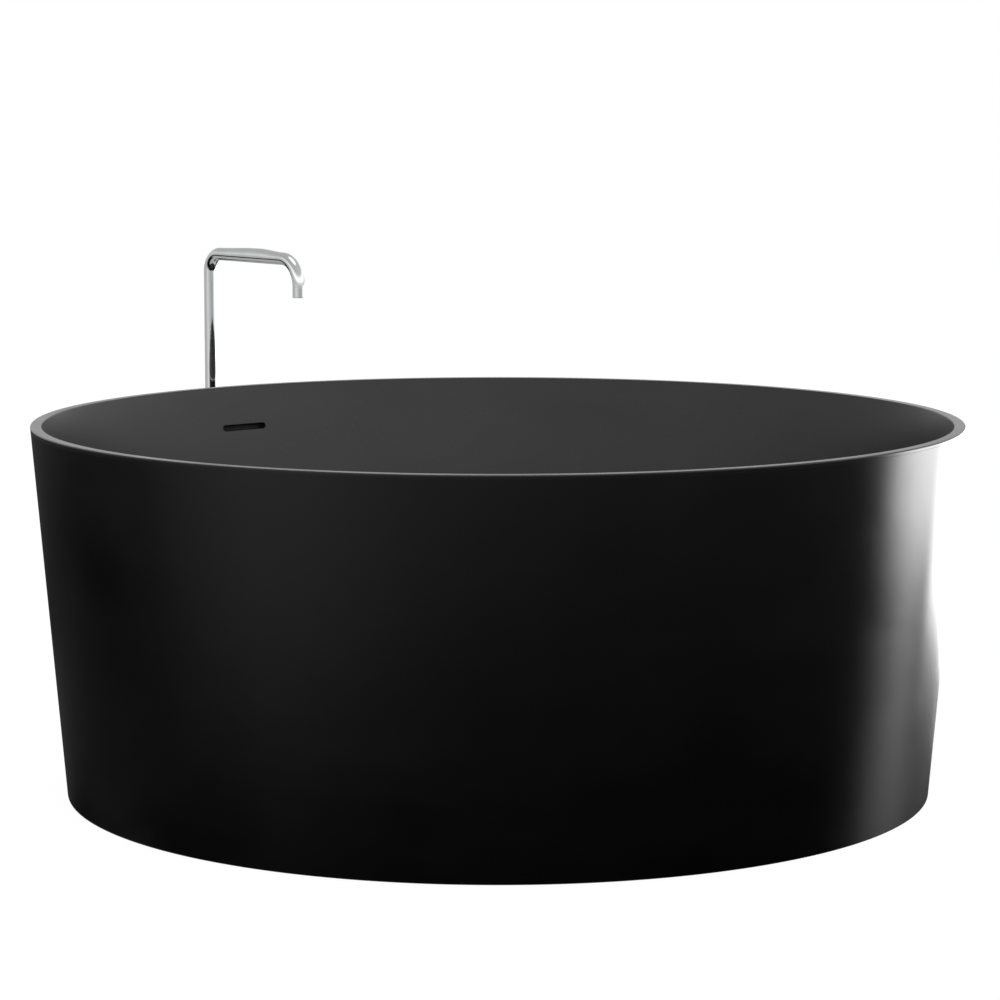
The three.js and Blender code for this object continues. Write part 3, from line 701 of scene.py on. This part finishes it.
def skirt():
    """Outer shell, hairline joint under the lip, soft bottom edge."""
    top = HEIGHT - LIP - 0.00005
    low = SKIRT_BOTTOM_Z
    profile = softened(
        [
            (skirt_face(top), top, 0.00015),
            (skirt_face(SKIRT_BREAK_Z), SKIRT_BREAK_Z),
            (skirt_face(low), low, 0.0025),
            (skirt_face(low) - SHELL, low, 0.0015),
            (skirt_face(SKIRT_BREAK_Z) - SHELL, SKIRT_BREAK_Z),
            (skirt_face(top) - SHELL, top),
        ]
    )
    bm = bmesh.new()
    skin_rows(bm, ring_verts(bm, profile, TUB_COLUMNS, SLOT_AZIMUTH), True)
    # the skirt's darker base tone is painted shade
    to_object(bm, "bath_outer_skirt", "resin_skirt", "bath", "outer_skirt")


# ================= Waste and plug =================

def mm_profile(points):
    """A profile in metres from one in millimetres."""
    return [tuple(v * MM for v in p) for p in points]


def waste():
    """Waste flange with a centre boss on three arms, plug cap and plug seal."""
    flange = softened(mm_profile([
        (20, 118), (24.5, 118, 0.5), (24.5, 147.4), (36.8, 147.4, 0.3), (36.8, 148.8, 0.4),
        (34.5, 150, 0.8), (31, 150, 0.4), (30, 149, 0.4), (21, 149, 0.5), (20, 148, 0.5),
    ]))
    bm = lathe(flange, 96)
    boss = softened(mm_profile([(7.3, 122), (10.5, 122, 0.6), (10.5, 132, 0.6), (7.3, 132, 0.4)]))
    skin_rows(bm, ring_verts(bm, boss, 48), True)
    outline = softened(mm_profile([(-1.5, 123, 0.6), (1.5, 123, 0.6), (1.5, 129, 0.6), (-1.5, 129, 0.6)]))
    for k in range(3):
        a = 2 * math.pi * k / 3
        along = Vector((math.cos(a), math.sin(a), 0))
        across = Vector((-math.sin(a), math.cos(a), 0))
        rows = []
        for s in (0.0095, 0.0208):
            rows.append([bm.verts.new(along * s + across * u + Vector((0, 0, z))) for u, z in outline])
        skin_rows(bm, rows, False)
        bm.faces.new(rows[0])
        bm.faces.new(rows[1])
    to_object(bm, "waste_flange_polished", "chrome_trim", "bath", "waste_flange")

    cap = softened(mm_profile([
        (0, 150.3), (2.3, 150.3), (2.3, 145), (5, 145, 0.5), (5, 151.7, 0.8), (31, 151.7, 0.5),
        (32, 152.6, 0.6), (31, 154, 1.2), (24, 155.4, 3), (12, 156.3, 3), (0, 156.6),
    ]), closed=False)
    to_object(lathe(cap, 96, False), "plug_cap_polished", "chrome_trim", "plug", "plug_cap")
    seal = softened(mm_profile([
        (21.5, 149.4, 0.3), (29, 149.4, 0.6), (28.6, 151.4, 0.5), (21.5, 151.4, 0.3),
    ]))
    to_object(lathe(seal, 96), "plug_seal_ring", "seal_rubber", "plug", "plug_seal")


# ================= Spout =================

def at_column(bm):
    """Moves a bmesh built about Z to the spout's column."""
    return place(bm, offset=tuple(COLUMN))


def at_outlet(bm):
    """Moves a bmesh built about Z to the spout's outlet."""
    outlet = COLUMN + REACH * ARM_REACH
    outlet.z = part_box("aerator_ring")[0].z
    return place(bm, offset=tuple(outlet))


def crown_arm(bm):
    """Raises the top of the arm into a shallow crown: slow rise from the column, quick fall to the bend."""
    for v in bm.verts:
        reach = (v.co - COLUMN).dot(REACH)
        rising = reach / ARM_CROWN_AT
        falling = 1 - (reach - ARM_CROWN_AT) / ARM_CROWN_FALL
        share = min(rising, falling)
        up = (v.co.z - ARM_Z) / TUBE_RADIUS
        if up > 0 and share > 0:
            v.co.z += ARM_CROWN * up * (0.5 - 0.5 * math.cos(math.pi * share))


def spout():
    """Bent tube, aerator ring, floor cover, hub and collar of the spout."""
    route = planar_route(
        [(0, TUBE_FOOT_Z), (0, ARM_Z), (ARM_REACH, ARM_Z), (ARM_REACH, TUBE_END_Z)],
        [COLUMN_BEND, OUTLET_BEND],
        28,
    )
    pipe = tube(spaced(route, 0.008), TUBE_RADIUS, TUBE_BORE, 64, COLUMN, REACH)
    crown_arm(pipe)
    to_object(pipe, "spout_bent_tube", "chrome_tube", "spout", "spout_tube")

    ring = softened(mm_profile([
        (9.3, 0, 0.15), (11, 0, 0.9), (11, 19, 0.8), (9.2, 19), (9.2, 22, 0.3), (7.9, 22),
        (7.9, 17.5), (9.3, 17.5),
    ]))
    to_object(at_outlet(lathe(ring, 64)), "aerator_ring_polished", "chrome_trim", "spout", "aerator_ring")

    cover = softened(mm_profile([
        (17.4, 11.2), (33, 10.2, 1), (34.2, 9, 1), (34.2, 0.3), (36, 0.3, 0.3), (36, 9.6, 2.2),
        (33.5, 12.2, 1.4), (17.4, 13.2, 0.4),
    ]))
    to_object(at_column(lathe(cover, 96)), "escutcheon_polished", "chrome_trim", "bath", "escutcheon")
    hub = softened(mm_profile([
        (6, 6.3), (17, 6.3), (17, 60, 1.4), (13.5, 60, 0.3), (13.5, 15), (6, 15),
    ]))
    to_object(at_column(lathe(hub, 96)), "spout_hub_polished", "chrome_trim", "bath", "spout_hub")
    collar = softened(mm_profile([
        (11.4, 60.3, 0.3), (17, 60.3, 0.9), (17, 70.3, 1.5), (11.4, 70.3, 0.5),
    ]))
    to_object(at_column(lathe(collar, 96)), "spout_collar_polished", "chrome_trim", "bath", "spout_collar")


# ================= Feet and pipes =================

def nut_rows(bm, across, top, bore, columns=48):
    """Rows of a hexagonal nut standing on z 0: its corners are cut back by a cone at both ends."""
    corner = across / math.cos(math.pi / 6)
    cut = (corner - across) * 0.75
    outline = [(across * 0.985, 0), (across * 1.02 + cut / 2, cut / 2), (corner, cut)]
    outline += [(r, top - z) for r, z in reversed(outline)]
    rows = []
    for cone, z in outline:
        row = []
        for k in range(columns):
            a = 2 * math.pi * k / columns
            flat = across / math.cos((a % (math.pi / 3)) - math.pi / 6)
            r = min(flat, cone)
            row.append(bm.verts.new((r * math.cos(a), r * math.sin(a), z)))
        rows.append(row)
    inner = ((bore + 0.0005, top), (bore, top - 0.0005), (bore, 0.0005), (bore + 0.0005, 0))
    return rows + ring_verts(bm, inner, columns)


def feet():
    """Grooved rubber pads, threaded studs and lock nuts of the levelling feet."""
    pad = [(0, 0), (8, 0, 0.2), (8.4, 0.8, 0.2), (9.6, 0.8, 0.2), (10, 0, 0.2), (15, 0, 0.2),
           (15.4, 0.8, 0.2), (16.6, 0.8, 0.2), (17, 0, 0.2), (22.5, 0, 0.7), (24, 1.5, 0.8),
           (24, 5, 1.8), (10, 10, 1.5), (5.3, 10, 0.3), (5.3, 5), (0, 5)]
    stud = [(0, 5.3), (4.3, 5.3), (STUD_RADIUS, 6.0)]
    for k in range(STUD_TURNS):
        z = 6.2 + STUD_PITCH * k
        stud += [(STUD_RADIUS, z), (STUD_ROOT, z + 0.65)]
        stud += [(STUD_ROOT, z + 0.85), (STUD_RADIUS, z + 1.4)]
    stud += [(STUD_RADIUS, 59.3), (4.3, 60), (0, 60)]
    for i in range(1, FEET + 1):
        low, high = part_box(f"foot_stud_{i}")
        centre = (low + high) / 2
        out = math.hypot(centre.x, centre.y)
        turn = math.atan2(centre.y, centre.x)
        bm = place(lathe(softened(mm_profile(pad), False, 3), 64, False), (out, 0, 0), turn)
        to_object(bm, f"foot_pad_moulded_{i}", "foot_rubber", "bath", f"foot_pad_{i}")
        bm = place(lathe(mm_profile(stud), 32, False), (out, 0, 0), turn)
        to_object(bm, f"foot_stud_threaded_{i}", "zinc_steel", "bath", f"foot_stud_{i}")
        bm = bmesh.new()
        skin_rows(bm, nut_rows(bm, NUT_CORNER * math.cos(math.pi / 6), NUT_TOP, NUT_BORE), True)
        place(bm, (out, 0, NUT_Z), turn)
        to_object(bm, f"foot_nut_hexagon_{i}", "zinc_steel", "bath", f"foot_nut_{i}")


def pipes():
    """Corrugated overflow hose, trap with its two sockets, and the outlet pipe."""
    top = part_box("overflow_hose")[1].z
    route = planar_route([(HOSE_CORNERS[0][0], top), *HOSE_CORNERS], [HOSE_BEND, HOSE_BEND], 24)
    stations = spaced(route, HOSE_PITCH / 4)
    total = sum((q[0] - p[0]).length for p, q in zip(stations, stations[1:]))
    radii = []
    run = 0.0
    for i, (p, _) in enumerate(stations):
        run += (p - stations[i - 1][0]).length if i else 0
        wave = 0.5 - 0.5 * math.cos(2 * math.pi * run / HOSE_PITCH)
        cuff = run < HOSE_UPPER_CUFF or run > total - HOSE_LOWER_CUFF
        radii.append(HOSE_RADIUS if cuff else HOSE_RADIUS - HOSE_GROOVE * wave)
    heading = Vector((math.cos(SLOT_AZIMUTH), math.sin(SLOT_AZIMUTH), 0))
    bm = tube(stations, radii, HOSE_BORE, 24, Vector((0, 0, 0)), heading)
    to_object(bm, "overflow_hose_corrugated", "hose_plastic", "bath", "overflow_hose")

    # distance from the mouth, outer radius and inner radius of one socket, in mm
    socket = ((0, 20.6, 17.8), (0.4, 21, 17.4), (19.6, 21, 17.4), (20.2, 21, 14.5), (21.2, 21, 14.5),
              (22, 20.6, 14.5), (22.4, 17.3, 14.5), (22.9, 17, 14.5))
    corners = [(0, PORT_Z), (0, TRAP_LOW_Z), (TRAP_RISER, TRAP_LOW_Z), (TRAP_RISER, PORT_Z),
               (TRAP_REACH, PORT_Z)]
    bend = planar_route(corners, TRAP_BENDS, 16)[1:-1]
    down = Vector((0, -1))
    out = Vector((1, 0))
    stations = [(Vector((0, PORT_Z - s * MM)), down) for s, _, _ in socket] + bend
    stations += [(Vector((TRAP_REACH - s * MM, PORT_Z)), out) for s, _, _ in reversed(socket)]
    outer = [r * MM for _, r, _ in socket]
    inner = [r * MM for _, _, r in socket]
    outer += [PIPE_RADIUS] * len(bend) + outer[::-1]
    inner += [PIPE_BORE] * len(bend) + inner[::-1]
    bm = tube(stations, outer, inner, 48, Vector((0, 0, 0)), Vector((1, 0, 0)))
    to_object(bm, "trap_bend_moulded", "white_plastic", "bath", "trap_bend")

    low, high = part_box("waste_pipe")
    wall = softened([
        (PIPE_BORE, low.x, 0.0002), (PIPE_RADIUS, low.x, 0.0006), (PIPE_RADIUS, high.x, 0.0006),
        (PIPE_BORE, high.x, 0.0006),
    ])
    bm = place(lathe(wall, 64), offset=(0, 0, PORT_Z), tilt=math.pi / 2)
    to_object(bm, "waste_pipe_drawn", "white_plastic", "bath", "waste_pipe")


# ================= Carried-over CAD nodes =================

def dress_nodes():
    """Finish for every CAD node that stays, from the record's slots, with softened edges."""
    slots = {s["node"]: s["material_slot"] for s in frame["record"]["subparts"]}
    for name, node in frame["nodes"].items():
        node.data.materials.clear()
        node.data.materials.append(MATERIALS[slots[name]])
        if node.hide_render:
            continue
        smallest = min(hi - lo for lo, hi in zip(*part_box(name)))
        bevel = node.modifiers.new("soft_edges", "BEVEL")
        bevel.width = min(0.0006, smallest * 0.08)
        bevel.segments = 2
        bevel.limit_method = "ANGLE"
        bevel.angle_limit = math.radians(50)


# ================= Studio =================

def ramp(n, value, low, high, stops):
    """A curve through (x, level) stops, for x from low to high; levels may pass 1."""
    peak = max(level for _, level in stops)
    base = min(0.0, min(level for _, level in stops))
    curve = n.add("ShaderNodeValToRGB", {"Fac": n.fade(value, low, high)})
    elements = curve.color_ramp.elements
    for _ in stops[2:]:
        elements.new(0.5)
    for element, (x, level) in zip(elements, stops):
        element.position = (x - low) / (high - low)
        element.color = (*grey((level - base) / (peak - base)), 1)
    return n.plus(n.times(curve.outputs["Color"], peak - base), base)


def world_light():
    """White to the eye. To reflections: a soft sky over a dim floor that darkens towards the bath,
    a broad glow at the left front, and two tall white panels standing at the right rear."""
    world = bpy.data.worlds.new("studio")
    world.use_nodes = True
    bpy.context.scene.world = world
    n = Nodes(world.node_tree)
    split = n.add("ShaderNodeSeparateXYZ", {"Vector": n.add("ShaderNodeTexCoord").outputs["Generated"]})
    x, y, z = split.outputs
    around = n.times(n.maths("ARCTAN2", x, n.times(y, -1.0)), 180 / math.pi)
    tilt = n.plus(n.times(y, RISE_TILT), n.times(n.times(y, y), RISE_TILT_CURVE))
    rise = n.times(n.plus(n.maths("SUBTRACT", z, tilt), RISE_ZERO), 1 / RISE_SPAN)

    def by_height(stops):
        return ramp(n, z, -1, 1, stops)

    def by_azimuth(stops, azimuth=around):
        return ramp(n, azimuth, -180, 180, stops)

    def by_rise(stops, span):
        return ramp(n, rise, *span, stops)

    band = n.times(by_height(BAND), by_azimuth(BAND_ROUND))
    left = n.times(by_height(LEFT_BAND), by_azimuth(LEFT_BAND_ROUND))
    rear = n.times(by_height(REAR_BAND), by_azimuth(REAR_BAND_ROUND))
    bands = n.plus(n.plus(band, left), rear)
    sky = n.times(n.plus(by_height(SKY), bands), n.plus(n.times(x, SKY_SLOPE), 1.0))
    high = n.fade(z, *HORIZON_FADE, smooth=True)
    horizon = n.times(by_azimuth(HORIZON), n.maths("SUBTRACT", 1.0, high))
    sky = n.plus(n.times(sky, high), horizon)

    floor = n.times(by_rise(FLOOR_RISE, FLOOR_RANGE), by_azimuth(FLOOR_ROUND))
    floor = n.plus(floor, n.times(by_rise(LEFT_RISE, FLOOR_RANGE), by_azimuth(LEFT_ROUND)))
    near = n.fade(rise, *NEAR_RISE, high=NEAR_LEVEL, smooth=True)
    near = n.times(near, by_azimuth(NEAR_ROUND))
    deep = n.fade(z, *DEEP_HEIGHT, high=NEAR_LEVEL, smooth=True)
    floor = n.plus(floor, n.maths("MAXIMUM", near, deep))

    start = n.fade(around, *LEFT_EDGE, *SKY_START)
    start = n.plus(start, n.fade(around, *RIGHT_EDGE, high=SKY_START_RIGHT))
    full = n.fade(around, *LEFT_EDGE, *SKY_FULL)
    above = n.fade(rise, start, full, smooth=True)
    below = n.maths("SUBTRACT", 1.0, above)
    room = n.plus(n.times(sky, above), n.times(floor, below))

    leant = n.maths("SUBTRACT", around, by_rise(PANEL_LEAN, PANEL_RANGE))
    past = n.maths("MAXIMUM", n.maths("SUBTRACT", around, PANEL_MIDDLE), 0.0)
    past = n.times(past, by_rise(PANEL_SQUEEZE, PANEL_RANGE))
    leant = n.maths("MINIMUM", n.plus(leant, past), 180.0)
    wide = n.times(by_rise(PANEL_RISE, PANEL_RANGE), by_azimuth(PANEL_ROUND, leant))
    far = n.times(by_rise(REAR_RISE, PANEL_RANGE), by_azimuth(REAR_ROUND))
    panels = n.times(n.plus(wide, far), by_height(PANEL_TOP))
    level = n.plus(room, panels)

    soft = n.add("ShaderNodeBackground", {"Color": (1.0, 1.0, 1.0), "Strength": level})
    white = n.add("ShaderNodeBackground", {"Color": (1.0, 1.0, 1.0), "Strength": 1.0})
    seen = n.add("ShaderNodeLightPath").outputs["Is Camera Ray"]
    mix = n.add("ShaderNodeMixShader", {0: seen, 1: soft.outputs[0], 2: white.outputs[0]})
    n.add("ShaderNodeOutputWorld", {"Surface": mix.outputs[0]})


def studio_floor():
    """Pale floor that stays out of the bath's reflections."""
    bm = bmesh.new()
    bmesh.ops.create_grid(bm, x_segments=2, y_segments=2, size=FLOOR_HALF)
    mesh = bpy.data.meshes.new("studio_floor")
    bm.to_mesh(mesh)
    bm.free()
    floor = bpy.data.objects.new("studio_floor", mesh)
    bpy.context.scene.collection.objects.link(floor)
    material = bpy.data.materials.new("studio_floor")
    material.use_nodes = True
    n = Nodes(material.node_tree)
    paper = n.add("ShaderNodeBsdfDiffuse", {"Color": (0.9, 0.9, 0.9)})
    glow = n.add("ShaderNodeEmission", {"Color": (1.0, 1.0, 1.0), "Strength": FLOOR_GLOW})
    mix = n.add("ShaderNodeMixShader", {0: FLOOR_GLOW_SHARE, 1: paper.outputs[0], 2: glow.outputs[0]})
    n.add("ShaderNodeOutputMaterial", {"Surface": mix.outputs[0]})
    mesh.materials.append(material)
    floor.visible_glossy = False
    floor.visible_diffuse = False
    floor.visible_shadow = False


def camera():
    """Long lens on the bath's front, looking slightly down."""
    data = bpy.data.cameras.new("camera")
    data.sensor_width = 36
    data.lens = LENS
    data.shift_x = LENS_SHIFT
    data.clip_end = 60
    view = bpy.data.objects.new("camera", data)
    bpy.context.scene.collection.objects.link(view)
    view.location = EYE
    view.rotation_euler = (math.radians(90) - LOOK_DOWN, 0, 0)
    bpy.context.scene.camera = view


basin()
skirt()
waste()
spout()
feet()
pipes()
dress_nodes()
world_light()
studio_floor()
camera()
bpy.context.scene.view_settings.view_transform = "Standard"
bpy.context.scene.view_settings.look = "None"
